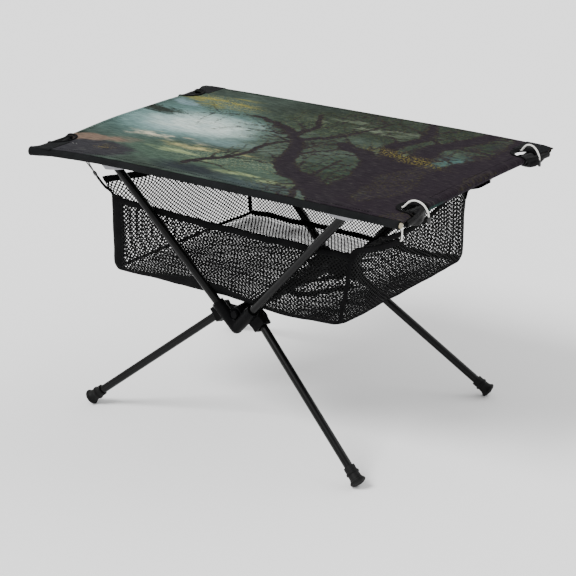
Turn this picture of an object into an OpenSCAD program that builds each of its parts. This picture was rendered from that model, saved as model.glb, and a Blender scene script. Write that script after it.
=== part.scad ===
// Folding side table: a fabric top stretched on four rods stands on the tips of four arms.
// Two moulded hubs on a crossbar hold the arms and carry four hinged legs.
// A mesh bag hangs under the top. Millimetres, +X along the long side, +Y to the back, +Z up.
// The origin is on the ground under the middle of the top.

/* [Top] */
// Length of the top, over the ends of its long rods
top_w = 570; // [560:5:590]
// Depth of the top, over its two long sleeves
top_d = 378; // [374:2:390]
// Height of the top's upper face above the ground
top_h = 365; // [363:1:380]
// Distance of each short edge from the middle
short_edge_x = 280; // [278:1:281]
// Thickness of the printed top fabric
fabric_t = 1; // [0.8:0.1:1.2]
// Diameter of the long rods and spreader rods
rod_d = 7; // [6:0.5:7.5]
// Radius of the round bite at each corner that bares the spreader's end
bite_r = 17; // [17:1:18]

/* [Frame] */
// Outside diameter of the leg and arm tubes
tube_d = 11; // [10:0.5:11.5]
// Wall of the leg and arm tubes
tube_wall = 1; // [0.8:0.1:1.4]
// Diameter of the crossbar between the hubs
crossbar_d = 13; // [12:0.5:14]
// Outside diameter of the hub's arm sockets
socket_d = 16.5; // [16:0.5:18]
// Length of the hub's arm sockets from the bottom of the V
socket_len = 42; // [38:1:45]

/* [Feet] */
// Half the spread of the feet along the table
foot_x = 217.5; // [212:0.5:224]
// Half the spread of the feet across the table
foot_y = 164; // [160:1:168]
// Diameter of the rubber foot's flange
foot_d = 21; // [19:1:23]

/* [Bag] */
// Height of the front edge of the bag's floor above the ground
bag_z = 181; // [180.5:0.5:190]
// How much higher the back edge of the floor hangs
floor_rise = 26; // [0:1:30]
// Height of the bag's front rim above the ground
bag_rim_z = 289; // [280:1:292]
// Width of the bag's webbing
webbing_w = 8; // [6:1:10]

/* [Hidden] */
$fn = 48;

black = [0.07, 0.07, 0.08];
soft_black = [0.12, 0.12, 0.13];
white_cord = [0.9, 0.9, 0.88];
print_green = [0.25, 0.31, 0.29];

fit = 0.05;                 // radial clearance of a part that sits or runs in another
gap = 0.3;                  // clearance between neighbours that don't touch

// Frame: directions and places of the front hub. The back hub is this one turned half round.
arm_low = [0, -119, 147];              // where the two arm axes meet, at the bottom of the V
arm_tip = [191, -139, 352];
leg_top = [0, -101, 184];              // where the two leg axes would meet
foot_z = foot_d / 2 * 0.8;             // the leaning flange then just touches the ground
foot_tip = [foot_x, -foot_y, foot_z];
pivot_s = 36;                          // distance of a leg's hinge from leg_top, along the leg
fold_dir = unit([0.05, 0.984, -0.17]); // where a folded leg points: back and a little down
crossbar_z = 166;
crossbar_y = 121;                      // half the crossbar's length
block = 20;                            // size of the hinge block
pin_d = 3;
pin_len = 24;

tube_id = tube_d - 2 * tube_wall;
rod_z = top_h - fabric_t - rod_d / 2 - 1.15;
sleeve_r = rod_d / 2 + 1.1;
rod_y = top_d / 2 - sleeve_r;
spreader_x = short_edge_x - 6;
bite_x = short_edge_x - 8;
bite_y = 137;
bag_y = 110;                // half the depth of the bag's floor
bag_rim_y = 124;            // half the depth of the bag at its long rims
mesh_t = 1.6;
corners = [[-1, -1], [1, -1], [-1, 1], [1, 1]];

// The elastic tails' routes, from under the bite's edge over the fork and down past the short edge
tail_d = 2.6;
tail_front_route = [[246, -143, 361.3], [251, -141.5, 361.6], [258, -139, 363.2],
    [261.5, -137, 367], [264.5, -134.6, 370], [269, -132, 371.2], [274, -130.5, 370.4],
    [279, -129.5, 367.8], [283, -129, 363.5],
    [285.8, -128.4, 358], [286.4, -128.1, 353]];
tail_back_route = [[246, 150.5, 361.2], [251.5, 149.5, 361.2], [259, 147, 362.2], [262, 146, 365.4],
    [264.5, 146, 368.6], [267.3, 146.5, 370.8], [271.5, 146.8, 371.5], [276, 147, 370.2],
    [280, 147.1, 367], [283, 147.5, 362.5], [284.6, 147.9, 357.5], [285, 148, 353]];

function unit(v) = v / norm(v);
function flip(v, sx) = [v.x * sx, v.y, v.z];
function leg_dir(sx) = unit(flip(foot_tip, sx) - leg_top);
function pivot(sx) = leg_top + pivot_s * leg_dir(sx);
function hinge_axis(sx) = unit(cross(leg_dir(sx), fold_dir));
function arm_dir(sx) = unit(flip(arm_tip, sx) - arm_low);
function middle(a, b, t = 0.5) = a + t * (b - a);

// Turns +Z to run from a to b and moves to a
module along(a, b) {
    d = b - a;
    translate(a)
        rotate([0, acos(d.z / norm(d)), atan2(d.y, d.x)])
            children();
}

module rod_between(a, b, d) {
    along(a, b)
        cylinder(h = norm(b - a), d = d);
}

// Frame of a leg's hinge: X along the leg, Y the way it folds, Z along the pin
module at_hinge(sx) {
    x = leg_dir(sx);
    z = hinge_axis(sx);
    y = cross(z, x);
    p = pivot(sx);
    multmatrix([[x.x, y.x, z.x, p.x], [x.y, y.y, z.y, p.y], [x.z, y.z, z.z, p.z], [0, 0, 0, 1]])
        children();
}

// The front hub's pieces serve the back hub when turned half round
module turned(back) {
    rotate([0, 0, back ? 180 : 0])
        children();
}

// ---- hubs ----

module hinge_block() {
    translate([-9.5, -9, -block / 2])
        cube([23.5, 15.5, block]);
    translate([0, -1.25, -block / 2])
        cylinder(h = block, r = 9.5);
}

// Room for the knuckle and the leg, open on the side to which the leg folds
module hinge_slot() {
    translate([-7, -tube_d / 2 - 0.2, -tube_d / 2 - 0.3])
        cube([40, 40, tube_d + 0.6]);
}

module hub(back) {
    color(black)
        turned(back)
            difference() {
                union() {
                    for (sx = [-1, 1]) {
                        rod_between(arm_low, arm_low + socket_len * arm_dir(sx), socket_d);
                        at_hinge(sx)
                            hinge_block();
                    }
                    translate(arm_low)
                        sphere(d = socket_d);
                    // Sleeve round the crossbar, and the web that joins it to both hinge blocks
                    translate([0, -91, crossbar_z])
                        rotate([90, 0, 0])
                            cylinder(h = 30, d = crossbar_d + 5);
                    translate([-24, -114, 155])
                        cube([48, 14, 14]);
                    translate([0, -119, 156])
                        cylinder(h = 16, d = 12, center = true);
                }
                for (sx = [-1, 1]) {
                    // The blind bore starts 10 mm up, so the two bores keep a wall between them
                    rod_between(arm_low + 12 * arm_dir(sx), arm_low + 60 * arm_dir(sx), tube_d + 2 * fit);
                    at_hinge(sx) {
                        hinge_slot();
                        cylinder(h = pin_len + 6, d = pin_d + 2 * fit, center = true);
                    }
                }
                translate([0, -80, crossbar_z])
                    rotate([90, 0, 0])
                        cylinder(h = 60, d = crossbar_d + 2 * fit);
            }
}

module crossbar() {
    color(black)
        translate([0, crossbar_y, crossbar_z])
            rotate([90, 0, 0])
                difference() {
                    cylinder(h = 2 * crossbar_y, d = crossbar_d);
                    translate([0, 0, -1])
                        cylinder(h = 2 * crossbar_y + 2, d = crossbar_d - 2.4);
                }
}

// Domed plugs that close the crossbar's ends
module crossbar_plugs() {
    color(black)
        for (back = [false, true])
            turned(back)
                translate([0, -crossbar_y, crossbar_z])
                    rotate([90, 0, 0]) {
                        rotate_extrude()
                            intersection() {
                                circle(r = crossbar_d / 2);
                                square([crossbar_d, 4.5]);
                            }
                        translate([0, 0, -8])
                            cylinder(h = 8, d = crossbar_d - 2.4 - 2 * fit);
                    }
}

// ---- arms ----

arm_start = 13;

module arm(back, sx) {
    a = arm_low + arm_start * arm_dir(sx);
    color(black)
        turned(back)
            difference() {
                rod_between(a, flip(arm_tip, sx), tube_d);
                rod_between(a - arm_dir(sx), flip(arm_tip, sx) + arm_dir(sx), tube_id);
            }
}

module arm_tip_caps() {
    color(soft_black)
        for (back = [false, true], sx = [-1, 1])
            turned(back)
                along(flip(arm_tip, sx), flip(arm_tip, sx) + arm_dir(sx)) {
                    rotate_extrude()
                        polygon([[0, -12], [tube_id / 2 - fit, -12], [tube_id / 2 - fit, 0.05],
                            [tube_d / 2 + 0.8, 0.05], [tube_d / 2 + 0.8, 2], [tube_d / 2 - 1, 4.6],
                            [tube_d / 2 - 3.2, 5.6], [0, 5.6]]);
                }
}

// Elastic that runs up inside each arm and keeps it drawn into its socket
module arm_shock_cords() {
    color(white_cord)
        for (back = [false, true], sx = [-1, 1])
            turned(back)
                rod_between(arm_low + (arm_start + 1) * arm_dir(sx),
                    flip(arm_tip, sx) - 12.5 * arm_dir(sx), 2.5);
}

// ---- legs ----

module leg_hinge_pins() {
    color([0.3, 0.3, 0.31])
        for (back = [false, true], sx = [-1, 1])
            turned(back)
                at_hinge(sx)
                    cylinder(h = pin_len, d = pin_d, center = true);
}

leg_len = norm(foot_tip - leg_top) - pivot_s;    // hinge to the foot's flange
tube_start = 8;                                  // where the tube begins, from the hinge

// Legs lie along +X of their hinge frame
module lengthwise() {
    rotate([0, 90, 0])
        children();
}

module leg(back, sx) {
    color(black)
        turned(back)
            at_hinge(sx)
                lengthwise()
                    translate([0, 0, tube_start])
                        difference() {
                            cylinder(h = leg_len - tube_start - 3, d = tube_d);
                            translate([0, 0, -1])
                                cylinder(h = leg_len, d = tube_id);
                        }
}

// Plug in the leg's top end, with the eye that turns on the hinge pin
module knuckle(back, sx) {
    eye_t = tube_d - 0.4;
    color(soft_black)
        turned(back)
            at_hinge(sx)
                difference() {
                    union() {
                        cylinder(h = eye_t, d = tube_d, center = true);
                        intersection() {
                            lengthwise()
                                cylinder(h = tube_start - fit, d = tube_d);
                            cube([40, tube_d, eye_t], center = true);
                        }
                        lengthwise()
                            cylinder(h = tube_start + 16, d = tube_id - 2 * fit);
                    }
                    cylinder(h = block, d = pin_d + 2 * fit, center = true);
                }
}

// Rubber boot: a collar on the tube, a ridge, and a flange round a domed sole
module foot(back, sx) {
    r = foot_d / 2;
    collar = tube_d / 2 + 2;
    color(soft_black)
        turned(back)
            at_hinge(sx)
                lengthwise()
                    translate([0, 0, leg_len])
                        rotate_extrude()
                            difference() {
                                union() {
                                    polygon([[0, -22], [collar, -22], [collar, -15], [collar + 1.2, -14],
                                        [collar + 1.2, -12], [collar, -11], [collar + 0.3, -6], [r - 1.6, -3],
                                        [r - 1.6, 1.5], [r - 3, 2.4], [0, 4.2]]);
                                    translate([r - 2.2, -0.6])
                                        circle(r = 2.2);
                                }
                                translate([-1, -23])
                                    square([1 + tube_d / 2 + fit, 23 - 2.9]);
                                translate([-20, -30])
                                    square([20, 60]);
                            }
}

// ---- top ----

binding_w = 4.5;

module bites(r) {
    for (c = corners)
        translate([c.x * bite_x, c.y * bite_y])
            circle(r = r);
}

module panel_outline() {
    side = rod_y + 1;
    end = top_w / 2 - 2;
    polygon([[-end, -side], [end, -side], [short_edge_x, -side + 34], [short_edge_x, side - 34],
        [end, side], [-end, side], [-short_edge_x, side - 34], [-short_edge_x, -side + 34]]);
}

module top_panel() {
    color(print_green)
        translate([0, 0, top_h - fabric_t])
            linear_extrude(fabric_t)
                difference() {
                    panel_outline();
                    bites(bite_r + binding_w + fit);
                }
}

// Tape sewn round each bite carries the panel's edge
module bite_bindings() {
    color(black)
        translate([0, 0, top_h - fabric_t])
            linear_extrude(fabric_t)
                intersection() {
                    panel_outline();
                    difference() {
                        bites(bite_r + binding_w);
                        bites(bite_r);
                    }
                }
}

module long_tube(len, od, id) {
    rotate([0, 90, 0])
        difference() {
            cylinder(h = len, d = od, center = true);
            cylinder(h = len + 2, d = id, center = true);
        }
}

module sleeve(sy) {
    color(black)
        translate([0, sy * rod_y, rod_z])
            long_tube(top_w - 6, 2 * sleeve_r, rod_d + 0.4);
}

module hem(sx) {
    color(black)
        translate([sx * spreader_x, 0, rod_z])
            rotate([0, 0, 90])
                long_tube(2 * (bite_y - bite_r), 2 * sleeve_r, rod_d + 0.4);
}

// Each long rod is two lengths of tube that meet at a ferrule
module rod(sy) {
    half = top_w / 2 - 2;
    color(black)
        for (sx = [-1, 1])
            translate([sx * (half / 2 + 0.1), sy * rod_y, rod_z])
                long_tube(half - 0.2, rod_d, rod_d - 2);
}

module rod_ferrules() {
    color("silver")
        for (sy = [-1, 1])
            translate([0, sy * rod_y, rod_z])
                long_tube(50, rod_d - 2 - 2 * fit, 3.4);
}

module rod_end_plugs() {
    color([0.62, 0.58, 0.48])
        for (c = corners)
            translate([c.x * (top_w / 2 - 2), c.y * rod_y, rod_z])
                rotate([0, c.x * 90, 0])
                    union() {
                        translate([0, 0, -10])
                            cylinder(h = 11, d = rod_d - 2 - 2 * fit);
                        translate([0, 0, fit])
                            cylinder(h = 2 - fit, d = rod_d);
                    }
}

spreader_end = bite_y - 6;      // half the spreader rod's length

module spreader(sx) {
    color(black)
        translate([sx * spreader_x, 0, rod_z])
            rotate([0, 0, 90])
                long_tube(2 * spreader_end, rod_d, rod_d - 2);
}

// Moulded end of a spreader: a socket for its rod and a forked jaw that bears on the long rod
module fork(sx, sy) {
    reach = rod_y - sleeve_r - gap;          // the jaw's bottom, against the sleeve
    color(soft_black)
        translate([sx * spreader_x, 0, rod_z])
            rotate([0, 0, sy > 0 ? 0 : 180])
                difference() {
                    union() {
                        translate([0, bite_y - bite_r + 2, 0])
                            rotate([-90, 0, 0])
                                cylinder(h = 26, d = rod_d + 2);
                        translate([-3.5, bite_y + 2, -5])
                            cube([7, reach - bite_y - 4, 6.5]);
                        // The two jaws of the fork
                        for (s = [-1, 1])
                            along([0, bite_y + 8, -2], [s * 8, reach - 2.8, -2])
                                cylinder(h = reach - bite_y - 10, d = 6);
                    }
                    translate([0, bite_y - bite_r, 0])
                        rotate([-90, 0, 0])
                            cylinder(h = spreader_end - bite_y + bite_r + 0.2, d = rod_d + 2 * fit);
                }
}

// Fabric hoods under the top that drop over the arm tips. They are open below.
pocket_len = 40;
pocket_w = 25;
pocket_h = 17;

module pocket_outline(shrink) {
    w = pocket_w - 2 * shrink;
    for (s = [-1, 1])
        translate([s * (pocket_len - pocket_w) / 2, 0])
            circle(d = w);
    square([pocket_len - pocket_w, w], center = true);
}

module arm_pockets() {
    color([0.45, 0.45, 0.47])
        for (c = corners)
            translate([c.x * (arm_tip.x - 4), -c.y * arm_tip.y, top_h - fabric_t - 0.1 - pocket_h])
                linear_extrude(pocket_h)
                    difference() {
                        pocket_outline(0);
                        pocket_outline(1.2);
                    }
}

// ---- elastic tails ----

// One closed tube along a list of points. A ring's frame comes from its neighbours.
module sweep(path, d, sides = 8) {
    n = len(path);
    dirs = [for (i = [0:n - 1]) unit(path[min(i + 1, n - 1)] - path[max(i - 1, 0)])];
    rings = [for (i = [0:n - 1])
        let (side = unit(cross(dirs[i], [0, 1, 0])), up = cross(side, dirs[i]))
            [for (k = [0:sides - 1])
                path[i] + d / 2 * (cos(360 * k / sides) * side + sin(360 * k / sides) * up)]];
    walls = [for (i = [0:n - 2], k = [0:sides - 1])
        let (a = i * sides, b = (k + 1) % sides)
            [a + k, a + sides + k, a + sides + b, a + b]];
    first = [for (k = [0:sides - 1]) k];
    last = [for (k = [sides - 1:-1:0]) (n - 1) * sides + k];
    polyhedron(points = [for (ring = rings, p = ring) p], faces = concat(walls, [first, last]));
}

module elastic_tail(route) {
    color(white_cord)
        sweep(route, tail_d);
}

module tail_crimp(route) {
    end = route[len(route) - 1];
    color(black)
        translate([end.x, end.y, end.z - 6.4])
            cylinder(h = 6, d = 3.6);
}

// ---- bag ----

// The bag hangs askew: seen from above, its sides lean to the right at the back, and its floor
// rises to the back. Corners run front left, front right, back right, back left.
left_x = [-203, -156];      // the left side's X at the front and at the back
right_x = [182, 197];       // the right side's X at the front and at the back
rim_z = [bag_rim_z, bag_rim_z - 3, bag_rim_z + 13, bag_rim_z + 11];
bag_xy = [[left_x[0], -bag_y], [right_x[0], -bag_y], [right_x[1], bag_y], [left_x[1], bag_y]];
floor_z = [bag_z, bag_z, bag_z + floor_rise, bag_z + floor_rise];
// Where each corner hangs from its loop, and where the loop is fastened under the top
hang_at = [[-213, -137, 318], [251, -131, 318], [221, 138, 315], [-207, 127, 318]];
loop_from = [[-236, -152, 362.8], [269, -157, 353.2], [236, 152, 362.8], [-234, 153, 362.8]];
bag_lean = (bag_rim_y - bag_y) / (bag_rim_z - bag_z);        // outward, for each millimetre up
floor_tilt = atan2(floor_rise, 2 * bag_y);

function bag_low(i) = [bag_xy[i].x, bag_xy[i].y, floor_z[i]];
function bag_high(i) =
    let (z = rim_z[i], y = bag_y + bag_lean * (z - floor_z[i]))
        [bag_xy[i].x, sign(bag_xy[i].y) * y, z];

// Local X along the wall from corner i to the next, local Y up it
module on_wall(i) {
    a = bag_low(i);
    b = bag_low((i + 1) % 4);
    u = unit([b.x - a.x, b.y - a.y, 0]);
    lean = i == 0 ? -bag_lean : i == 2 ? bag_lean : 0;
    v = unit([0, lean, 1]);
    n = cross(u, v);
    multmatrix([[u.x, v.x, n.x, a.x], [u.y, v.y, n.y, a.y], [u.z, v.z, n.z, a.z], [0, 0, 0, 1]])
        children();
}

// A side wall is cut to the slope of the walls that it meets
function wall_corner(i, end, z) =
    let (a = bag_low(i), b = bag_low((i + 1) % 4), long = i == 0 || i == 2,
        run = norm([b.x - a.x, b.y - a.y]), out = long ? 0 : bag_lean * (z - (end == 0 ? a.z : b.z)),
        up = (z - a.z) * (long ? norm([0, bag_lean, 1]) : 1))
        [end == 0 ? 3 - out : run - 3 + out, up];

module wall_band(i, low_0, low_1, high_0, high_1, thick) {
    on_wall(i)
        linear_extrude(thick, center = true)
            polygon([wall_corner(i, 0, low_0), wall_corner(i, 1, low_1),
                wall_corner(i, 1, high_1), wall_corner(i, 0, high_0)]);
}

module bag_wall(i) {
    j = (i + 1) % 4;
    color(soft_black)
        wall_band(i, floor_z[i] + 3.4, floor_z[j] + 3.4, rim_z[i] - webbing_w, rim_z[j] - webbing_w, mesh_t);
}

module bag_rim(i) {
    j = (i + 1) % 4;
    wall_band(i, rim_z[i] - webbing_w + gap, rim_z[j] - webbing_w + gap, rim_z[i], rim_z[j], 2.4);
}

module on_floor() {
    translate([0, -bag_y, bag_z])
        rotate([floor_tilt, 0, 0])
            children();
}

module bag_floor() {
    deep = 2 * bag_y / cos(floor_tilt);
    color(soft_black)
        on_floor()
            linear_extrude(mesh_t)
                polygon([[left_x[0] + 3, 2], [right_x[0] - 3, 2], [right_x[1] - 3, deep - 2],
                    [left_x[1] + 3, deep - 2]]);
}

module bag_long_rims() {
    color(black) {
        bag_rim(0);
        bag_rim(2);
    }
}

module bag_side_rims() {
    color(black) {
        bag_rim(1);
        bag_rim(3);
    }
}

module bag_corner_seams() {
    color(black)
        for (i = [0:3])
            rod_between(bag_low(i) + [0, 0, 6], bag_high(i) + [0, sign(bag_xy[i].y), 6], 3.4);
}

module bag_floor_seams() {
    color(black)
        for (i = [0:3]) {
            a = bag_low(i) + [0, sign(bag_xy[i].y) * 0.4, 1.2];
            b = bag_low((i + 1) % 4) + [0, sign(bag_xy[(i + 1) % 4].y) * 0.4, 1.2];
            rod_between(a + 7 * unit(b - a), b - 7 * unit(b - a), 2.4);
        }
}

// Webbing that rises from each corner seam to the loop it hangs from
module bag_corner_straps() {
    color(black)
        for (i = [0:3]) {
            side = sign(bag_xy[i].x);
            start = bag_high(i) + [side * 3.5, sign(bag_xy[i].y) * 1.5, 7];
            along(start, hang_at[i])
                linear_extrude(norm(hang_at[i] - start))
                    square([2, webbing_w], center = true);
        }
}

// Two strands of thin elastic from a knot on each strap up to the top or its fork
loop_d = 1.6;

module bag_hanging_loops() {
    knot = 7;
    color(black)
        for (i = [0:3]) {
            low = hang_at[i] + [0, 0, 1.4] + 0.6 * unit(loop_from[i] - hang_at[i]);
            high = loop_from[i];
            top_of_knot = low + knot * unit(high - low);
            rod_between(low, top_of_knot, 4);
            for (s = [-1, 1])
                rod_between(top_of_knot + [s, 0, 0.8], high + [s * 3, 0, 0], loop_d);
        }
}

// Carrying loop of webbing that lies on the bag's floor
module bag_strap_loop() {
    color(black)
        on_floor()
            translate([60, bag_y - 35, mesh_t + 0.1])
                rotate([0, 0, -30])
                    linear_extrude(1.6)
                        difference() {
                            union() {
                                circle(d = 46);
                                translate([0, 30])
                                    square([46, 60], center = true);
                            }
                            circle(d = 26);
                            translate([0, 31])
                                square([26, 64], center = true);
                        }
}

hub(false);  // hub_front
hub(true);  // hub_back
crossbar();
crossbar_plugs();
arm(false, -1);  // arm_front_left
arm(false, 1);  // arm_front_right
arm(true, 1);  // arm_back_left
arm(true, -1);  // arm_back_right
arm_tip_caps();
arm_shock_cords();
leg_hinge_pins();
leg(false, -1);  // leg_front_left
leg(false, 1);  // leg_front_right
leg(true, 1);  // leg_back_left
leg(true, -1);  // leg_back_right
knuckle(false, -1);  // knuckle_front_left
knuckle(false, 1);  // knuckle_front_right
knuckle(true, 1);  // knuckle_back_left
knuckle(true, -1);  // knuckle_back_right
foot(false, -1);  // foot_front_left
foot(false, 1);  // foot_front_right
foot(true, 1);  // foot_back_left
foot(true, -1);  // foot_back_right
top_panel();
sleeve(-1);  // sleeve_front
sleeve(1);  // sleeve_back
hem(-1);  // hem_left
hem(1);  // hem_right
bite_bindings();
rod(-1);  // rod_front
rod(1);  // rod_back
rod_ferrules();
rod_end_plugs();
spreader(-1);  // spreader_left
spreader(1);  // spreader_right
fork(-1, -1);  // fork_front_left
fork(1, -1);  // fork_front_right
fork(-1, 1);  // fork_back_left
fork(1, 1);  // fork_back_right
arm_pockets();
elastic_tail(tail_front_route);  // elastic_tail_front
elastic_tail(tail_back_route);  // elastic_tail_back
tail_crimp(tail_front_route);  // tail_crimp_front
tail_crimp(tail_back_route);  // tail_crimp_back
bag_wall(0);  // bag_front
bag_wall(2);  // bag_back
bag_wall(3);  // bag_left
bag_wall(1);  // bag_right
bag_floor();
bag_long_rims();
bag_side_rims();
bag_corner_seams();
bag_floor_seams();
bag_corner_straps();
bag_hanging_loops();
bag_strap_loop();
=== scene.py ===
"""A folding side table: the visible pieces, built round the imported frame. Metres.

Sizes in the code are written in millimetres and go through mm() or MM.
"""

import math
import random

import bmesh
import bpy
from mathutils import Matrix, Vector, noise


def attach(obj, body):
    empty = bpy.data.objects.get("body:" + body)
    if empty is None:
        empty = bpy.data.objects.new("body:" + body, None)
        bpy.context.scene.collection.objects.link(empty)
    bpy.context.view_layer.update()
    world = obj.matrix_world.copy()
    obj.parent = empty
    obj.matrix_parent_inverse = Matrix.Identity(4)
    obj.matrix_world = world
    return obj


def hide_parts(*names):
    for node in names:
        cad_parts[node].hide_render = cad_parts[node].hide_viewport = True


bl_info = {
    "name": "Folding Side Table",
    "version": (1, 0, 0),
    "blender": (4, 5, 0),
    "location": "View3D > Sidebar > Side Table",
    "description": "Builds the fabric top, its rods, the net bag and the stage round the frame",
    "category": "Add Mesh",
}

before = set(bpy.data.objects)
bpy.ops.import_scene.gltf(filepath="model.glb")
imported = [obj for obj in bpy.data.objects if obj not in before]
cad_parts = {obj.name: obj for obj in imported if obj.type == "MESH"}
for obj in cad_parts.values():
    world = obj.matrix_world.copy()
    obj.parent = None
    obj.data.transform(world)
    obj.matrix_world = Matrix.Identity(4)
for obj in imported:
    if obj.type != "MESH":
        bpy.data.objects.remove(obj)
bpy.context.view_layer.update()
MM = 0.001


def mm(x, y, z):
    return Vector((x, y, z)) * MM


def srgb(code):
    """A linear colour with alpha from an sRGB hex code."""
    parts = [int(code[i:i + 2], 16) / 255 for i in (1, 3, 5)]
    return (*[p / 12.92 if p <= 0.04045 else ((p + 0.055) / 1.055) ** 2.4 for p in parts], 1.0)


def clamp(value, low=0.0, high=1.0):
    return max(low, min(high, value))


def smoothstep(value):
    t = clamp(value)
    return t * t * (3 - 2 * t)


# ---- places, in millimetres ----

ROD_Y, ROD_Z = 184.4, 359.35
SLEEVE_R = 4.6
SPREADER_X = 274.0
TOP_Z = 365.0
PANEL_X, PANEL_END = 280, 286.0
BITE_X, BITE_Y = 272.0, 137.0
BITE_R = 16.0
CORNERS = [(-1, -1), (1, -1), (1, 1), (-1, 1)]
CORNER_DROP = {(-1, -1): 7.0, (1, -1): 1.0, (1, 1): 3.0, (-1, 1): 1.0}

TAIL_FRONT = [(246, -143, 361.3), (251, -141.5, 361.6), (258, -139, 363.2), (261.5, -137, 367),
              (264.5, -134.6, 370), (269, -132, 371.2), (274, -130.5, 370.4), (279, -129.5, 367.8),
              (283, -129, 363.5), (285.8, -128.4, 358), (286.4, -128.1, 353)]
TAIL_BACK = [(246, 150.5, 361.2), (251.5, 149.5, 361.2), (259, 147, 362.2), (262, 146, 365.4),
             (264.5, 146, 368.6), (267.3, 146.5, 370.8), (271.5, 146.8, 371.5), (276, 147, 370.2),
             (280, 147.1, 367), (283, 147.5, 362.5), (284.6, 147.9, 357.5), (285, 148, 353)]

# The bag as an upright box, and where its corners really hang: floor, seam tops, loops
BAG_X, BAG_Y, BAG_H = 193.0, 115.0, 108.0
HANG_H = 30.0
ROUND = 14.0
LOW = [(-212, -118, 180), (161, -121, 186), (196, 124, 208), (-152, 119, 208)]
HIGH = [(-205, -126, 291), (181, -125, 285), (196, 131, 304), (-160, 123, 302)]
HANG = [(-213, -137, 318), (251, -131, 318), (221, 138, 318), (-207, 127, 318)]
LOOP_FROM = [(-236, -152, 362.8), (269, -157, 353.2), (236, 152, 362.8), (-234, 153, 362.8)]


def settle(x, y, z):
    """Where a point of the flat top comes to rest: corners droop and the middle sags a little."""
    side = (1 if x > 0 else -1, 1 if y > 0 else -1)
    drop = CORNER_DROP[side] * clamp((abs(x) - 110) / 172) ** 2 * smoothstep(abs(y) / 180)
    sag = 1.2 * max(0, 1 - (y / ROD_Y) ** 2) * max(0, 1 - (x / 285) ** 2)
    return mm(x, y, z - drop - sag)


def bag_point(x, y, z):
    """Puts a point of the upright box on the bag as it hangs: rounded, bowed, wrinkled and askew."""
    inner = Vector((clamp(x, -BAG_X + ROUND, BAG_X - ROUND), clamp(y, -BAG_Y + ROUND, BAG_Y - ROUND),
                    max(z, ROUND)))
    away = Vector((x, y, z)) - inner
    if away.length > ROUND:
        away *= (ROUND + (away.length - ROUND) * 0.12) / away.length
    x, y, z = inner + away
    along, across, up = 1 - (x / BAG_X) ** 2, 1 - (y / BAG_Y) ** 2, clamp(z / BAG_H, 0, 1.3)
    belly = math.sin(math.pi * clamp(up))
    floor = clamp(1 - z / ROUND)
    z -= 6 * along * up * (1 - across) + 4 * along * across * floor
    # The floor hangs lowest towards its right end
    z -= 12 * math.exp(-((x - 112) / 72) ** 2) * clamp(1 - up) * (0.6 + 0.4 * across)
    y *= 1 - 0.045 * along * up ** 2 + 0.02 * along * belly
    x *= 1 - 0.03 * across * up ** 2 + 0.012 * across * belly
    s, t, w = (x / BAG_X + 1) / 2, (y / BAG_Y + 1) / 2, z / BAG_H

    def level(corners):
        a, b, c, d = (Vector(p) for p in corners)
        return a.lerp(b, s).lerp(d.lerp(c, s), t)

    if w <= 1:
        p = level(LOW).lerp(level(HIGH), w)
    else:
        p = level(HIGH).lerp(level(HANG), (z - BAG_H) / HANG_H)
    p += 1.5 * noise.noise_vector(p / 48) + 0.45 * noise.noise_vector(p / 17)
    return p * MM


# ---- mesh helpers ----

def new_mesh():
    bm = bmesh.new()
    bm.loops.layers.uv.new("UVMap")
    return bm


def skin(bm, along, across, place, size=(1.0, 1.0), closed=False, caps=False):
    """A grid whose points place(s, t) sets, with s and t from 0 to 1. Its UV map is in metres."""
    verts = bmesh.ops.create_grid(bm, x_segments=along, y_segments=across, size=0.5, calc_uvs=True)["verts"]
    layer = bm.loops.layers.uv.active
    for vert in verts:
        for loop in vert.link_loops:
            loop[layer].uv = ((vert.co.x + 0.5) * size[0], (vert.co.y + 0.5) * size[1])
    for vert in verts:
        vert.co = place(vert.co.x + 0.5, vert.co.y + 0.5)
    if closed:
        bmesh.ops.remove_doubles(bm, verts=verts, dist=1e-7)
    if caps:
        bmesh.ops.holes_fill(bm, edges=[e for e in bm.edges if e.is_boundary], sides=0)


def spline(points, count):
    """count points at even spacing along a smooth curve through the given ones."""
    p = [Vector(q) for q in points]
    p = [2 * p[0] - p[1]] + p + [2 * p[-1] - p[-2]]
    fine = []
    for i in range(1, len(p) - 2):
        for k in range(24):
            t = k / 24
            fine.append(0.5 * (2 * p[i] + (p[i + 1] - p[i - 1]) * t
                               + (2 * p[i - 1] - 5 * p[i] + 4 * p[i + 1] - p[i + 2]) * t * t
                               + (3 * p[i] - p[i - 1] - 3 * p[i + 1] + p[i + 2]) * t ** 3))
    fine.append(p[-2])
    reach = [0.0]
    for a, b in zip(fine, fine[1:]):
        reach.append(reach[-1] + (b - a).length)
    out, j = [], 0
    for k in range(count):
        want = reach[-1] * k / (count - 1)
        while j < len(reach) - 2 and reach[j + 1] < want:
            j += 1
        span = max(reach[j + 1] - reach[j], 1e-12)
        out.append(fine[j].lerp(fine[j + 1], clamp((want - reach[j]) / span)))
    return out


def length_of(path):
    return sum((b - a).length for a, b in zip(path, path[1:]))


def frames(path, up):
    """For each point: its side and its normal, square to the way the path runs."""
    out = []
    normal = Vector(up)
    for i, p in enumerate(path):
        run = (path[min(i + 1, len(path) - 1)] - path[max(i - 1, 0)]).normalized()
        normal = (normal - run * normal.dot(run)).normalized()
        out.append((run.cross(normal), normal))
    return out


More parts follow.
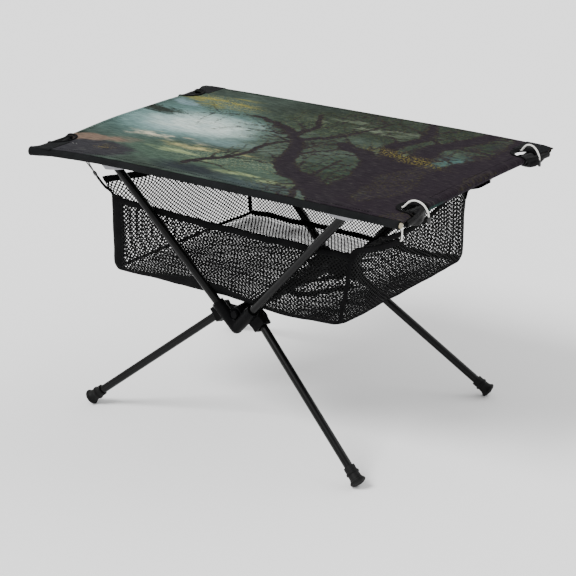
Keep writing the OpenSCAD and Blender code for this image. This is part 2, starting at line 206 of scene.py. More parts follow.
def sweep(bm, path, width, thick=None, around=12, up=(0, 0, 1), square=1.0, caps=True):
    """A tube or strap along a path in metres, as thick as it is wide unless thick says otherwise.

    width and thick are numbers or functions of the share of the path. square below 1 makes the oval boxy.
    """
    wide, high = (v if callable(v) else lambda s, v=v: v for v in (width, width if thick is None else thick))
    turn = frames(path, up)
    last = len(path) - 1

    def place(s, t):
        i = round(s * last)
        side, normal = turn[i]
        a = 2 * math.pi * t
        c, d = math.cos(a), math.sin(a)
        c, d = (math.copysign(abs(v) ** square, v) for v in (c, d))
        return path[i] + side * (wide(s) / 2 * c) + normal * (high(s) / 2 * d)

    girth = math.pi * 0.5 * (wide(0.5) + high(0.5))
    skin(bm, last, around, place, (length_of(path), girth), closed=True, caps=caps)


def revolve(bm, profile, centre, axis, steps=24):
    """A closed turned shape: profile is (radius, height) pairs in metres from axis end to axis end."""
    turn = Vector((0, 0, 1)).rotation_difference(Vector(axis)).to_matrix()
    verts = [bm.verts.new(turn @ Vector((r, 0, h)) + centre) for r, h in profile]
    edges = [bm.edges.new(pair) for pair in zip(verts, verts[1:])]
    bmesh.ops.spin(bm, geom=verts + edges, cent=centre, axis=turn @ Vector((0, 0, 1)), angle=2 * math.pi,
                   steps=steps, use_merge=True, use_duplicate=False)
    bmesh.ops.remove_doubles(bm, verts=bm.verts, dist=2e-6)


def join(bm, part):
    """Adds the faces of part to bm, and frees part."""
    mesh = bpy.data.meshes.new("part")
    part.to_mesh(mesh)
    part.free()
    bm.from_mesh(mesh)
    bpy.data.meshes.remove(mesh)


def piece(name, bm, look, body, replaced=(), fix_normals=True):
    """Makes the mesh an object, gives it its material and ties it to its body."""
    if fix_normals:
        bmesh.ops.recalc_face_normals(bm, faces=bm.faces)
    mesh = bpy.data.meshes.new(name)
    bm.to_mesh(mesh)
    bm.free()
    mesh.materials.append(look)
    for face in mesh.polygons:
        face.use_smooth = True
    obj = bpy.data.objects.new(name, mesh)
    bpy.context.scene.collection.objects.link(obj)
    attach(obj, body)
    if replaced:
        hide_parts(*replaced)
    return obj


def solidify(obj, thickness, offset):
    """Gives a sheet its thickness in mm: inwards for offset -1, half to each side for 0."""
    mod = obj.modifiers.new("Thickness", "SOLIDIFY")
    mod.thickness = thickness * MM
    mod.offset = offset
    mod.use_even_offset = False


# ---- materials ----

def add(tree, kind, inputs=None, stops=(), **settings):
    """Adds a node, with its settings and a ramp's stops, and links or sets its inputs."""
    node = tree.nodes.new(kind)
    for name, value in settings.items():
        setattr(node, name, value)
    for socket, value in (inputs or {}).items():
        if isinstance(value, bpy.types.NodeSocket):
            tree.links.new(value, node.inputs[socket])
        else:
            node.inputs[socket].default_value = value
    for i, (place, colour) in enumerate(stops):
        stop = node.color_ramp.elements[i] if i < 2 else node.color_ramp.elements.new(place)
        stop.position, stop.color = place, colour
    return node


def material(name, **surface):
    """A new material with a Principled shader. Returns it, its tree and the shader."""
    mat = bpy.data.materials.new(name)
    mat.use_nodes = True
    tree = mat.node_tree
    tree.nodes.clear()
    shader = add(tree, "ShaderNodeBsdfPrincipled", {k.replace("_", " "): v for k, v in surface.items()})
    add(tree, "ShaderNodeOutputMaterial", {"Surface": shader.outputs[0]})
    return mat, tree, shader


def grain(tree, shader, size_mm, strength, depth_mm):
    """Fine random bump."""
    where = add(tree, "ShaderNodeTexCoord").outputs["Object"]
    tex = add(tree, "ShaderNodeTexNoise", {"Vector": where, "Scale": 1000 / size_mm, "Detail": 2.0})
    bump = add(tree, "ShaderNodeBump", {"Height": tex.outputs["Fac"], "Strength": strength,
                                        "Distance": depth_mm * MM})
    tree.links.new(bump.outputs[0], shader.inputs["Normal"])


def vary(tree, shader, low, high, size_mm, coords="Object"):
    """Colour that drifts between two near shades, given as hex codes."""
    where = add(tree, "ShaderNodeTexCoord").outputs[coords]
    tex = add(tree, "ShaderNodeTexNoise", {"Vector": where, "Scale": 1000 / size_mm, "Detail": 3.0})
    drift = add(tree, "ShaderNodeValToRGB", {"Fac": tex.outputs["Fac"]},
                stops=[(0.3, srgb(low)), (0.7, srgb(high))])
    tree.links.new(drift.outputs["Color"], shader.inputs["Base Color"])


def moulded_nylon():
    # Glass-filled nylon, injection moulded: satin black with a very fine spark-eroded grain
    mat, tree, shader = material("Moulded nylon", Roughness=0.45, Specular_IOR_Level=0.05)
    vary(tree, shader, "#040405", "#09090a", 14)
    grain(tree, shader, 0.7, 0.35, 0.15)
    return mat


def anodised_tube():
    # Aluminium tube, drawn and black anodised: soft long highlight, faint drawing lines along it
    mat, tree, shader = material("Black anodised aluminium", Roughness=0.25, Specular_IOR_Level=0.16)
    vary(tree, shader, "#050505", "#0a0a0b", 40)
    grain(tree, shader, 0.5, 0.12, 0.05)
    return mat


def rubber():
    # Moulded rubber boot: matt, slightly mottled where dust clings
    mat, tree, shader = material("Moulded rubber", Roughness=0.6, Specular_IOR_Level=0.15)
    vary(tree, shader, "#070707", "#0e0e0e", 6)
    grain(tree, shader, 0.9, 0.5, 0.2)
    return mat


def plain_finish(name, low, high, roughness, size_mm=3.0, bump=0.2, **surface):
    # A faint mottle a few mm across, so that the surface is not one flat tone
    mat, tree, shader = material(name, Roughness=roughness, **surface)
    vary(tree, shader, low, high, size_mm * 4)
    grain(tree, shader, size_mm, bump, 0.1)
    return mat


def thread_bump(tree, where, pitch_mm):
    """Height of a plain weave: two sets of threads that cross, over and under."""
    warp, weft = (add(tree, "ShaderNodeTexWave", {"Vector": where, "Scale": 500 / pitch_mm},
                      wave_type="BANDS", bands_direction=axis, wave_profile="SIN").outputs["Fac"]
                  for axis in "XY")
    return add(tree, "ShaderNodeMath", {0: warp, 1: weft}, operation="MULTIPLY").outputs[0]


def woven_cloth(name, low, high, pitch_mm, coords="Object"):
    # Plain-woven polyester: matt, thread crossings as fine bump.
    # Real threads are near 0.4 mm apart; drawn coarser so that they show.
    mat, tree, shader = material(name, Roughness=0.82, Specular_IOR_Level=0.05)
    vary(tree, shader, low, high, 25, coords)
    where = add(tree, "ShaderNodeTexCoord").outputs[coords]
    height = thread_bump(tree, where, pitch_mm)
    bump = add(tree, "ShaderNodeBump", {"Height": height, "Strength": 0.4, "Distance": 0.25 * MM})
    tree.links.new(bump.outputs[0], shader.inputs["Normal"])
    return mat


def webbing():
    # Polyester tape, woven with ribs across it: near black, ribs 1.6 mm apart so that they show
    return woven_cloth("Woven tape", "#070708", "#101011", pitch_mm=1.6, coords="UV")


def net_yarn():
    # Knitted polyester net: black yarn with a little gloss
    mat, tree, shader = material("Knitted net", Roughness=0.6, Specular_IOR_Level=0.08)
    vary(tree, shader, "#040405", "#0a0a0b", 30)
    return mat


def braided_elastic(name, low, high):
    # Round elastic in a braided sheath: the braid's diamonds show as bump 0.9 mm apart
    mat, tree, shader = material(name, Roughness=0.7, Sheen_Weight=0.2)
    vary(tree, shader, low, high, 4)
    where = add(tree, "ShaderNodeTexCoord").outputs["UV"]
    turned = add(tree, "ShaderNodeMapping", {"Vector": where, "Rotation": (0, 0, math.radians(45))})
    height = thread_bump(tree, turned.outputs[0], 0.9)
    bump = add(tree, "ShaderNodeBump", {"Height": height, "Strength": 0.7, "Distance": 0.2 * MM})
    tree.links.new(bump.outputs[0], shader.inputs["Normal"])
    return mat


def printed_cloth():
    # Plain-woven polyester, dye printed with a painted misty wood; the ink sits in the weave, so it is matt.
    # Every shape is a generic blot, stroke or limb.
    mat, tree, shader = material("Printed polyester", Roughness=0.8, Specular_IOR_Level=0.03)
    place = add(tree, "ShaderNodeTexCoord").outputs["Object"]
    flat = add(tree, "ShaderNodeMapping", {"Vector": place, "Scale": (1, 1, 0)}).outputs[0]

    def brush(scale, stretch=(1, 1, 1), detail=4.0, rough=0.55, turn=0.0, shift=0.0):
        """Noise drawn out and turned like brush marks."""
        where = add(tree, "ShaderNodeMapping", {"Vector": flat, "Scale": stretch,
                                                "Location": (shift, shift, 0),
                                                "Rotation": (0, 0, math.radians(turn))})
        return add(tree, "ShaderNodeTexNoise", {"Vector": where.outputs[0], "Scale": scale, "Detail": detail,
                                                "Roughness": rough})

    # Brush strokes push every edge about by up to 12 mm, and finer ones by up to 5 mm
    brushed = flat
    for push, reach in ((brush(26, (0.5, 1, 1), 5, 0.65), (0.07, 0.035, 0)),
                        (brush(110, (0.35, 1, 1), 3, 0.6, turn=10), (0.04, 0.022, 0))):
        centred = add(tree, "ShaderNodeVectorMath", {0: push.outputs["Color"], 1: (0.5, 0.5, 0.5)},
                      operation="SUBTRACT").outputs[0]
        moved = add(tree, "ShaderNodeVectorMath", {0: centred, 1: reach}, operation="MULTIPLY").outputs[0]
        brushed = add(tree, "ShaderNodeVectorMath", {0: brushed, 1: moved}, operation="ADD").outputs[0]

    def blot(x, y, rx, ry, soft=0.5, turn=0.0):
        """1 inside an ellipse in millimetres, falling to 0 at its edge."""
        local = add(tree, "ShaderNodeVectorMath", {0: brushed, 1: (x * MM, y * MM, 0)}, operation="SUBTRACT")
        turned = add(tree, "ShaderNodeMapping", {"Vector": local.outputs[0],
                                                 "Rotation": (0, 0, math.radians(-turn))})
        scaled = add(tree, "ShaderNodeMapping", {"Vector": turned.outputs[0],
                                                 "Scale": (1000 / rx, 1000 / ry, 1)})
        far = add(tree, "ShaderNodeVectorMath", {0: scaled.outputs[0]}, operation="LENGTH")
        return add(tree, "ShaderNodeMapRange",
                   {"Value": far.outputs["Value"], "From Min": 1.0, "From Max": 1.0 - soft},
                   interpolation_type="SMOOTHSTEP").outputs[0]

    def over(under, code, fac, strength=1.0, texture=None):
        """Lays a colour over what is there, where the factor and the texture let it show."""
        if texture is not None:
            fac = add(tree, "ShaderNodeMath", {0: fac, 1: texture}, operation="MULTIPLY").outputs[0]
        fac = add(tree, "ShaderNodeMath", {0: fac, 1: strength}, operation="MULTIPLY").outputs[0]
        # Inputs 6 and 7 and output 2 are the Mix node's colours
        return add(tree, "ShaderNodeMix", {0: fac, 6: under, 7: srgb(code)}, data_type="RGBA").outputs[2]

    def marks(low, high, *look, **more):
        """Brush noise cut to soft-edged marks."""
        return add(tree, "ShaderNodeMapRange", {"Value": brush(*look, **more).outputs["Fac"], "From Min": low,
                                                "From Max": high}, interpolation_type="SMOOTHSTEP").outputs[0]

    strokes = marks(0.46, 0.6, 60, (0.28, 1, 1), 6, 0.6, turn=12)
    dabs = marks(0.5, 0.62, 330, (0.8, 1, 1), 3, 0.7)
    leaves = marks(0.53, 0.6, 210, (1, 1, 1), 4, 0.75, shift=3.1)
    cloud = brush(14, (0.6, 1, 1), 6, 0.6, shift=1.7).outputs["Fac"]
    colour = add(tree, "ShaderNodeValToRGB", {"Fac": cloud}, [
        (0.3, srgb("#3a403c")), (0.5, srgb("#515a54")), (0.72, srgb("#6b7770"))]).outputs["Color"]
    # Each layer: its colour, its ellipse in mm (place, radii, softness, turn), its strength and its texture
    layers = (
        # Distance: teal haze at the left, then the pale mist over water
        ("#6b8280", (-200, 20, 190, 150, 0.8), 0.85),
        ("#8fa5a3", (-165, 5, 150, 85, 0.7), 0.9),
        ("#c3cdc9", (-150, 8, 112, 60, 0.75), 0.95),
        ("#94a7a9", (-190, -5, 105, 66, 0.9), 0.55, strokes),
        ("#d3cab6", (-150, -66, 105, 17, 0.8, -4), 0.85, strokes),
        ("#8b9fa0", (-70, -45, 60, 22, 0.8, 12), 0.5),
        # Woods behind, dark at the back edge and green in the middle
        ("#444b45", (60, 130, 290, 82, 0.6), 0.9),
        ("#3e4442", (120, 120, 160, 60, 0.7), 0.6, strokes),
        ("#525c50", (-30, 70, 110, 55, 0.8, -20), 0.7, strokes),
        ("#2c302c", (70, 135, 260, 75, 0.7), 0.75, leaves),
        ("#7a8570", (-15, 95, 130, 48, 0.8, -14), 0.5, leaves),
        ("#8b9484", (60, 120, 170, 30, 0.8, -4), 0.55, strokes),
        # Sunlit leaves at the back left
        ("#8a865a", (-205, 122, 105, 46, 0.7, -8), 0.85, strokes),
        ("#aaa46c", (-195, 118, 110, 34, 0.8, -8), 0.8, dabs),
        ("#3d4232", (-190, 88, 110, 20, 0.7, -8), 0.7, dabs),
        ("#8c9ea3", (-240, 92, 50, 12, 0.8, -14), 0.7),
        ("#37382f", (-248, 48, 72, 24, 0.6, -10), 0.95, leaves),
        ("#34352e", (-252, 45, 52, 20, 0.6, -10), 0.85),
        # Meadow in front of the water, with streaks of sun
        ("#5c6b61", (-60, -120, 210, 62, 0.6), 0.9),
        ("#bcb48a", (-75, -83, 100, 16, 0.8, 5), 0.9, strokes),
        ("#9ca684", (-90, -113, 80, 15, 0.8, -7), 0.9, strokes),
        ("#9aa484", (40, -148, 90, 15, 0.8, 2), 0.9, strokes),
        ("#aeb29c", (-20, -100, 150, 45, 0.8, 2), 0.45, dabs),
        ("#545f64", (70, -170, 110, 26, 0.8), 0.55),
        ("#3c3f45", (-40, -160, 90, 24, 0.8), 0.85),
        # A stony bank at the front left, its crest warm
        ("#86776d", (-245, -118, 90, 20, 0.5, 9), 0.92),
        ("#48474b", (-215, -158, 95, 42, 0.35, 6), 0.97),
        ("#5d5a5c", (-205, -150, 60, 26, 0.9), 0.5, dabs),
        ("#7d7248", (-188, -146, 20, 12, 0.8), 0.9, dabs),
        # Heather-dark ground at the right with gaps of sky between the trunks
        ("#403a41", (300, -40, 150, 260, 0.25), 0.97),
        ("#3f4541", (110, -70, 70, 90, 0.7), 0.7),
        ("#4c5f54", (130, -85, 42, 60, 0.7), 0.75, strokes),
        ("#64807c", (214, 46, 26, 40, 0.9), 0.85),
        ("#47574a", (205, 105, 46, 50, 0.6), 0.8, strokes),
        ("#3c5450", (278, -105, 14, 28, 0.5), 0.8),
        ("#62725f", (150, -112, 30, 52, 0.9, -10), 0.85, strokes),
        ("#5d6f66", (100, -45, 50, 50, 0.9, 10), 0.6, strokes),
        ("#6b7a70", (196, 84, 44, 26, 0.9, -10), 0.6, strokes))
    for code, ellipse, *rest in layers:
        colour = over(colour, code, blot(*ellipse), *rest)

    # Limbs: their distance, in metres, is an attribute of the cloth
    limb = add(tree, "ShaderNodeAttribute", attribute_name="limb").outputs["Fac"]
    wobble = add(tree, "ShaderNodeMath", {0: brush(150, (1, 1, 1), 4, 0.7, shift=5.0).outputs["Fac"], 1: 0.5},
                 operation="SUBTRACT").outputs[0]
    rough = add(tree, "ShaderNodeMath", {0: wobble, 1: 0.009}, operation="MULTIPLY").outputs[0]
    edge = add(tree, "ShaderNodeMath", {0: limb, 1: rough}, operation="ADD").outputs[0]
    # The limb itself, then how near to it and how far inside it a point is
    inside, near, deep = (add(tree, "ShaderNodeMapRange", {"Value": edge, "From Min": low, "From Max": high},
                              interpolation_type="SMOOTHSTEP").outputs[0]
                          for low, high in ((0.0012, -0.0012), (0.014, 0.002), (-0.006, -0.001)))
    rind = add(tree, "ShaderNodeMath", {0: near, 1: deep}, operation="MULTIPLY").outputs[0]
    colour = over(colour, "#3d373d", inside, 0.96)
    # Moss and leaf dabs cling near the limbs
    colour = over(colour, "#3b3637", blot(150, 26, 120, 38, 0.8, -6), 0.9, leaves)
    colour = over(colour, "#9a925a", blot(155, 30, 95, 22, 0.8, -12), 0.95, dabs)
    colour = over(colour, "#6d6c3c", rind, 0.3, dabs)
    # Every stroke is a little lighter or darker than the next
    bristle = {"scale": 420, "stretch": (0.16, 1, 1), "detail": 3, "rough": 0.6, "turn": 14, "shift": 4.0}
    colour = over(colour, "#000000", marks(0.56, 0.36, **bristle), 0.28)
    colour = over(colour, "#c9cdb4", marks(0.56, 0.74, **bristle), 0.09)
    deep = add(tree, "ShaderNodeGamma", {"Color": colour, "Gamma": 1.34}).outputs[0]
    rich = add(tree, "ShaderNodeHueSaturation", {"Color": deep, "Saturation": 1.08}).outputs[0]
    tree.links.new(rich, shader.inputs["Base Color"])
    height = thread_bump(tree, place, 1.2)
    crease = brush(22, (1, 0.4, 1), 3, 0.5, shift=2.2).outputs["Fac"]
    soft = add(tree, "ShaderNodeBump", {"Height": crease, "Strength": 0.25, "Distance": 1.2 * MM})
    bump = add(tree, "ShaderNodeBump", {"Height": height, "Strength": 0.25, "Distance": 0.2 * MM,
                                        "Normal": soft.outputs[0]})
    tree.links.new(bump.outputs[0], shader.inputs["Normal"])
    return mat


FINISHES = {}


def finish(name):
    """The material of that name, made once."""
    makers = {
        "nylon": moulded_nylon, "tube": anodised_tube, "rubber": rubber, "print": printed_cloth,
        "webbing": webbing, "net": net_yarn,
        "sleeve": lambda: woven_cloth("Sleeve cloth", "#111213", "#191a1b", 1.3),
        "pocket": lambda: woven_cloth("Pocket cloth", "#86868a", "#97979b", 1.3),
        "white elastic": lambda: braided_elastic("White elastic", "#d9d8d2", "#efeee9"),
        # Dark grey braided elastic for the left loops: painted shade on the elastic that is white at the right
        "thin elastic": lambda: braided_elastic("Elastic with painted shade", "#2c2c2d", "#454546"),
        "cord tip": lambda: plain_finish("Heat-shrunk tip", "#0d0d0e", "#161617", 0.3),
        "steel": lambda: plain_finish("Blackened steel", "#3b3c3e", "#4b4c4f", 0.38, Metallic=1.0),
        "bare aluminium": lambda: plain_finish("Drawn aluminium", "#a9aaac", "#bbbcbe", 0.32, Metallic=1.0),
        "plug": lambda: plain_finish("Rod plug plastic", "#8d866f", "#a39b82", 0.5),
    }
    if name not in FINISHES:
        FINISHES[name] = makers[name]()
    return FINISHES[name]


# ---- settings ----

class TableSettings(bpy.types.PropertyGroup):
    """Sizes and colours a user may change."""

    net_pitch: bpy.props.FloatProperty(
        name="Net pitch", description="Distance between neighbouring holes of the net",
        default=0.0042, min=0.0025, max=0.008, unit="LENGTH")
    yarn: bpy.props.FloatProperty(
        name="Net yarn", description="Width of the net's yarn", default=0.0014,
        min=0.0004, max=0.0015, unit="LENGTH")
    cloth_cell: bpy.props.FloatProperty(
        name="Cloth cell", description="Size of the top cloth's mesh cells", default=0.003,
        min=0.002, max=0.01, unit="LENGTH")
    floor_colour: bpy.props.FloatVectorProperty(
        name="Floor", description="Colour of the stage's floor", subtype="COLOR", size=4,
        default=srgb("#f8f8f8"), min=0, max=1)


def settings():
    return bpy.context.scene.side_table


# ---- operators ----

class TABLE_OT_camera(bpy.types.Operator):
    """Places the camera"""
    bl_idname = "side_table.camera"
    bl_label = "Camera"

    def execute(self, context):
        azimuth, elevation, roll = (math.radians(a) for a in (35.48, 21.01, -0.29))
        target, distance = mm(-19.4, 22.4, 152.3), 2.239
        back = Vector((math.sin(azimuth) * math.cos(elevation), -math.cos(azimuth) * math.cos(elevation),
                       math.sin(elevation)))
        right = Vector((0, 0, 1)).cross(back).normalized()
        up = back.cross(right)
        right, up = (right * math.cos(roll) + up * math.sin(roll),
                     up * math.cos(roll) - right * math.sin(roll))
        data = bpy.data.cameras.new("camera")
        data.sensor_width = 36
        data.lens = 103.0
        data.clip_start = 0.05
        data.clip_end = 30
        cam = bpy.data.objects.new("camera", data)
        cam.matrix_world = Matrix.Translation(target + back * distance) @ Matrix(
            (right, up, back)).transposed().to_4x4()
        context.scene.collection.objects.link(cam)
        context.scene.camera = cam
        return {"FINISHED"}


class TABLE_OT_tails(bpy.types.Operator):
    """Makes the two elastic tails at the right-hand forks, with their tips"""
    bl_idname = "side_table.tails"
    bl_label = "Elastic tails"

    def execute(self, context):
        for name, route in (("front", TAIL_FRONT), ("back", TAIL_BACK)):
            path = spline([mm(*p) for p in route], 40)
            bm = new_mesh()
            sweep(bm, path, 2.3 * MM, around=12)
            tail = piece(f"elastic_tail_{name}", bm, finish("white elastic"), "top",
                         [f"elastic_tail_{name}"])
            end = path[-1]
            down = (path[-1] - path[-2]).normalized()
            bm = new_mesh()
            profile = [(0, 0.6), (1.5, 0.5), (1.9, 0.0), (2.0, -1.0), (1.95, -6.6), (1.6, -7.8), (0, -8.1)]
            revolve(bm, [(r * MM, -h * MM) for r, h in profile], end, down, steps=16)
            tip = piece(f"tail_tip_{name}", bm, finish("cord tip"), "top",
                        [f"tail_crimp_{name}"])
            length_of(path)
        return {"FINISHED"}


def limb_field():
    """Generic boughs for the print: curves in millimetres with a width at each end, and their twigs."""
    rng = random.Random(5)
    trunks = [([(205, -210), (168, -150), (162, -95), (150, -40), (118, 6), (62, 34)], 60, 20),
              ([(150, -50), (176, 20), (166, 80), (188, 130), (205, 200)], 44, 24),
              ([(158, -10), (118, 60), (134, 120), (104, 195)], 30, 12),
              ([(172, -170), (112, -122), (58, -92), (34, -50), (4, 12), (-50, 62), (-118, 88)], 46, 7),
              ([(6, 10), (-22, 40), (-15, 80), (-44, 140)], 14, 6),
              ([(2, 25), (40, 75), (62, 150)], 13, 4),
              ([(-62, -140), (-22, -75), (-24, -20), (-4, 20)], 13, 6),
              ([(138, -200), (106, -120), (96, -25)], 10, 5),
              ([(215, -200), (262, -90), (240, 0), (268, 90), (250, 200)], 62, 44)]
    limbs = []

    def grow(path, wide, thin, depth):
        curve = spline([(x, y, 0) for x, y in path], 3 + int(length_of([Vector((*q, 0)) for q in path]) / 9))
        last = len(curve) - 1
        points = []
        for k, p in enumerate(curve):
            shake = 0.05 * wide + 1.2
            points.append((p.x + rng.uniform(-shake, shake), p.y + rng.uniform(-shake, shake),
                           wide + (thin - wide) * (k / last) ** 0.8))
        limbs.append(points)
        for k in range(1, last):
            if not depth or rng.random() > 0.34:
                continue
            x, y, w = points[k]
            run = curve[k + 1] - curve[k - 1]
            angle = math.atan2(run.y, run.x) + rng.choice((-1, 1)) * rng.uniform(0.45, 1.1)
            reach = rng.uniform(14, 30) * (1 + depth) * 0.75
            twig = [(x, y)]
            for _ in range(3):
                x, y = x + reach / 2 * math.cos(angle), y + reach / 2 * math.sin(angle)
                angle += rng.uniform(-0.55, 0.55)
                twig.append((x, y))
            grow(twig, max(min(w * 0.4, 9), 2.4), 1.0, depth - 1)

    for path, wide, thin in trunks:
        grow(path, wide, thin, 2)
    pieces = []
    for points in limbs:
        for (ax, ay, aw), (bx, by, bw) in zip(points, points[1:]):
            pieces.append((ax, ay, bx - ax, by - ay, aw / 2, bw / 2))

    def distance(x, y):
        best = 40.0
        for ax, ay, dx, dy, ra, rb in pieces:
            px, py = x - ax, y - ay
            if abs(px) > best + 60 or abs(py) > best + 60:
                continue
            t = clamp((px * dx + py * dy) / (dx * dx + dy * dy + 1e-9))
            d = math.hypot(px - dx * t, py - dy * t) - (ra + (rb - ra) * t)
            best = min(best, d)
        return best

    return distance


def panel_edge(y):
    """Half the panel's width at that depth: it flares a little at the corners."""
    return PANEL_X + 3 * clamp((abs(y) - 151.4) / 34)


def over_rod(reach, middle, radius):
    """How far out and how far down a sheet gets when it runs reach past the middle of a rod."""
    if reach <= 0:
        return middle + reach, 0.0
    angle = min(reach / radius, 1.35)
    return middle + radius * math.sin(angle), radius * (1 - math.cos(angle))


def top_point(x, y, lift=0.0):
    """A point of the cloth: flat between the rods, and turned down over them at its edges."""
    radius = SLEEVE_R + 0.8
    ay, down_y = over_rod(abs(y) - ROD_Y, ROD_Y, radius)
    ax, down_x = over_rod(abs(x) - SPREADER_X, SPREADER_X, radius)
    flare = clamp((abs(y) - 150) / 30)
    ax = ax + (abs(x) - ax) * flare
    down = down_y + down_x * (1 - flare) + 1.2 * flare * clamp((abs(x) - 272) / 10)
    return settle(math.copysign(ax, x), math.copysign(ay, y), TOP_Z - 0.1 + lift - down)


def cut_bites(bm, flat, radius, cell):
    """Opens the round bites: drops what is inside, then draws the ragged edge onto the circle."""
    def off(vert, c):
        x, y = flat[vert]
        return math.hypot(x - c[0] * BITE_X, y - c[1] * BITE_Y)
    gone = [v for v in bm.verts if any(off(v, c) < radius - 0.35 * cell for c in CORNERS)]
    bmesh.ops.delete(bm, geom=gone, context="VERTS")
    for vert in bm.verts:
        if not vert.is_boundary:
            continue
        for c in CORNERS:
            d = off(vert, c)
            if d < radius + 1.1 * cell:
                x, y = flat[vert]
                cx, cy = c[0] * BITE_X, c[1] * BITE_Y
                flat[vert] = (cx + (x - cx) * radius / d, cy + (y - cy) * radius / d)


class TABLE_OT_top(bpy.types.Operator):
    """Makes the printed cloth of the top, its sleeves, hems, tapes and stitches"""
    bl_idname = "side_table.top"
    bl_label = "Fabric top"

    def execute(self, context):
        cell = settings().cloth_cell / MM
        side, end = ROD_Y - 0.3, PANEL_END
        bm = new_mesh()
        layer = bm.verts.layers.float.new("limb")
        nx, ny = round(2 * end / cell), round(2 * side / cell)
        skin(bm, nx, ny, lambda s, t: Vector(((2 * s - 1) * end, (2 * t - 1) * side, 0)))
        flat = {v: (v.co.x * min(1, panel_edge(v.co.y) / PANEL_X * 283.5 / end), v.co.y) for v in bm.verts}
        cut_bites(bm, flat, BITE_R, cell)
        distance = limb_field()
        for vert in bm.verts:
            x, y = flat[vert]
            vert[layer] = distance(x, y) * MM
            ripple = 0.35 * noise.noise(Vector((x / 30, y / 55, 0.3))) * clamp((abs(x) - 150) / 100)
            vert.co = top_point(x, y, ripple)
        cloth = piece("top_cloth", bm, finish("print"), "top", ["top_panel"])
        solidify(cloth, 1.0, -1)
        self.sleeves()
        self.tapes()
        self.stitches()
        return {"FINISHED"}

    def sleeves(self):
        for name, sy in (("front", -1), ("back", 1)):
            path = [settle(x, sy * ROD_Y, ROD_Z) for x in (-282.5 + 565 * k / 140 for k in range(141))]
            bm = new_mesh()

            def fat(s):
                # The cloth gathers at the ends, most of all at the front left
                end = clamp(1 - s / 0.06) * (3.4 if sy < 0 else 1.5) + clamp((s - 0.95) / 0.05) * 1.2
                # and closes over the back rod's right end
                end -= (clamp((s - 0.9955) / 0.0045) * 7.4 if sy > 0 else 0)
                return (2 * SLEEVE_R + end + (0.5 + end * 0.4) * noise.noise(Vector((s * 22, sy, 0)))
                        + (0.25 + 0.3 * end) * noise.noise(Vector((s * 90, sy, 4)))) * MM
            sweep(bm, path, fat, around=20, caps=False)
            tube = piece(f"sleeve_cloth_{name}", bm, finish("sleeve"), "top",
                         [f"sleeve_{name}"])
            solidify(tube, 0.7, -1)
        for name, sx in (("left", -1), ("right", 1)):
            path = [settle(sx * SPREADER_X, y, ROD_Z) for y in (-119.5 + 239 * k / 56 for k in range(57))]
            bm = new_mesh()
            layer = bm.verts.layers.float.new("limb")
            sweep(bm, path, 2 * SLEEVE_R * MM, around=20, caps=False)
            for vert in bm.verts:
                vert[layer] = 0.03
            hem = piece(f"hem_cloth_{name}", bm, finish("print"), "top", [f"hem_{name}"])
            solidify(hem, 0.7, -1)

    def tapes(self):
        bm = new_mesh()
        # The ring's middle line, and how far it runs past the bite's middle on the open side
        ring, past = 17.9, 8.6
        reach = math.acos(past / ring)
        arc = [reach + (2 * math.pi - 2 * reach) * k / 56 for k in range(57)]
        for cx, cy in CORNERS:
            flats = [(cx * (BITE_X + ring * math.cos(a)), cy * (BITE_Y + ring * math.sin(a))) for a in arc]
            path = [top_point(x, y, -0.45) for x, y in flats]
            sweep(bm, path, 7.2 * MM, 2.3 * MM, around=12, square=0.7)
        piece("bite_tapes", bm, finish("webbing"), "top", ["bite_bindings"])
        bm = new_mesh()
        for cx, cy in CORNERS:
            # At the front right the print runs up to the tape
            if (cx, cy) == (1, -1):
                continue
            part = new_mesh()
            skin(part, 24, 26, lambda s, t: Vector((cx * (247 + 37 * s), cy * (146 + 42 * t), 0)))
            flat = {v: (v.co.x, v.co.y) for v in part.verts}
            cut_bites(part, flat, BITE_R + 1, 1.8)
            for vert in part.verts:
                x, y = flat[vert]
                vert.co = top_point(x, y, 0.45)
            join(bm, part)
        patch = piece("corner_patches", bm, finish("sleeve"), "top")
        for face in patch.data.polygons:
            if face.normal.z < 0:
                face.flip()
        solidify(patch, 0.5, -1)

    def stitches(self):
        """Short sunken stitches along the sleeves' and hems' seams."""
        bm = new_mesh()
        runs = []
        # How far the seams are from the rods, and a stitch's length
        seam, stitch = 6.5, 2.6
        for sy in (-1, 1):
            y = sy * (ROD_Y - seam)
            runs += [((x, y), (x + stitch, y)) for x in range(-238, 238, 4)]
        for sx in (-1, 1):
            x = sx * (SPREADER_X - seam)
            runs += [((x, y), (x, y + stitch)) for y in range(-110, 108, 4)]
        for a, b in runs:
            pa, pb = top_point(*a, 0.05), top_point(*b, 0.05)
            middle = (pa + pb) / 2 + Vector((0, 0, 0.00018))
            sweep(bm, [pa, middle, pb], 0.55 * MM, 0.4 * MM, around=5)
        piece("top_stitches", bm, finish("webbing"), "top")


